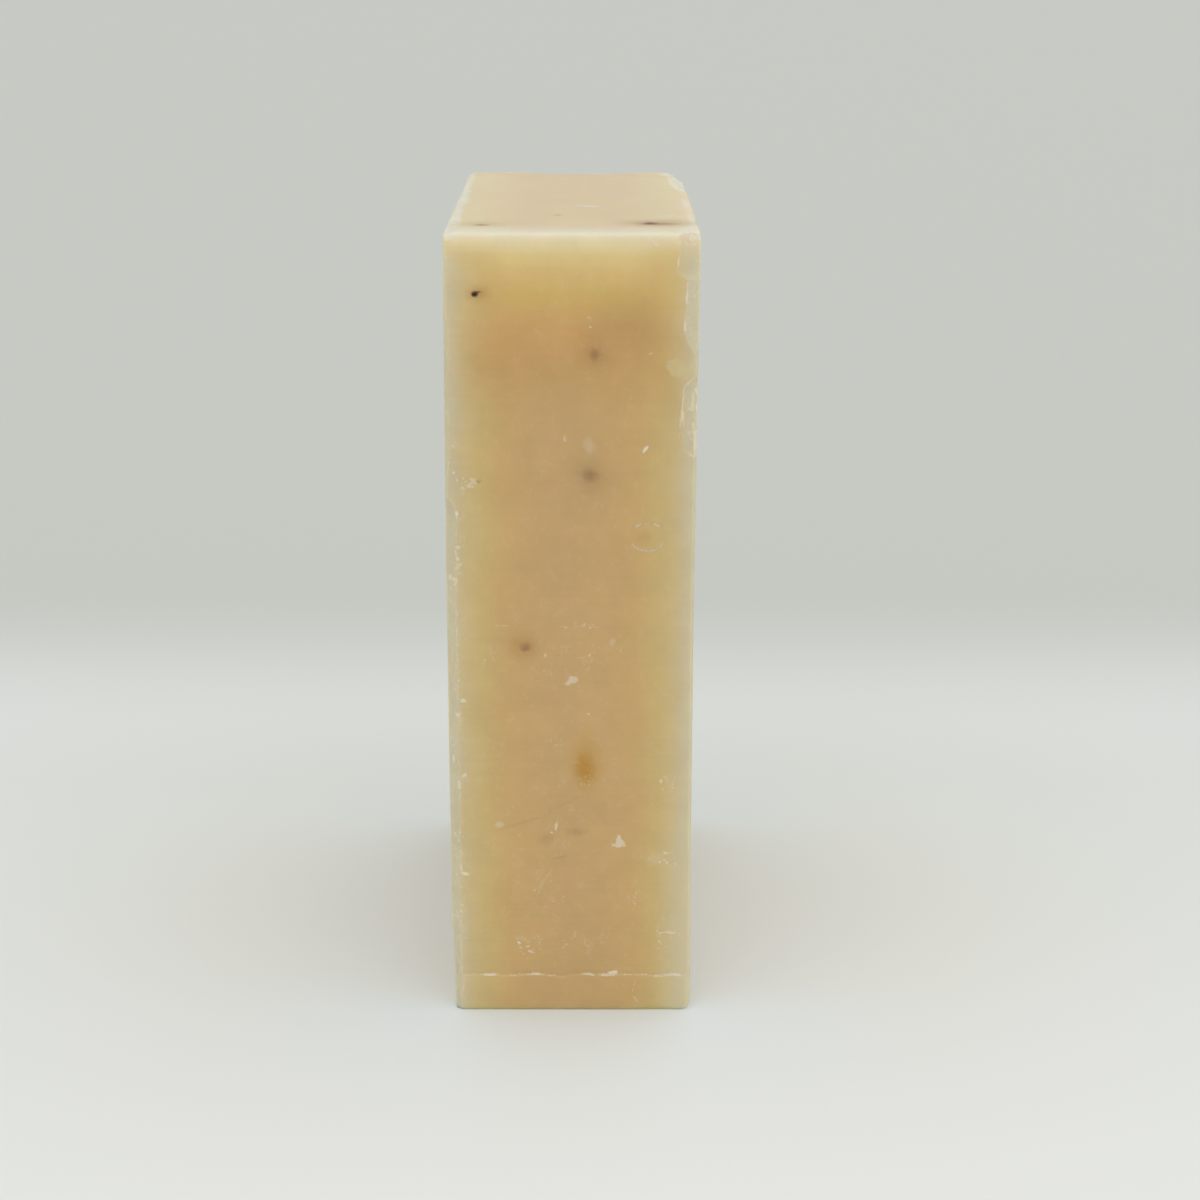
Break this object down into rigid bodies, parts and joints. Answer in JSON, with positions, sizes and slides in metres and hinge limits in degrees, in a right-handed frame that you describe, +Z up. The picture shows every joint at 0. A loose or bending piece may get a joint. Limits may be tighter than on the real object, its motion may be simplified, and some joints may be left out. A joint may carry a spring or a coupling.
{
  "type": "bar of soap",
  "caption": "Rectangular hand-cut bar of soap with bevelled and worn edges, standing on one short end.",
  "frame": {"origin": "middle of the short end that the bar stands on", "axes": "+Z up the bar's length, +X across its narrow side, -Y out of the narrow long side that faces the front"},
  "size_m": [0.0255, 0.053, 0.083],
  "materials": {
    "soap": "waxy, satin, slightly translucent"
  },
  "bodies": {
    "root": {"soap_bar": "soap"}
  },
  "joints": []
}
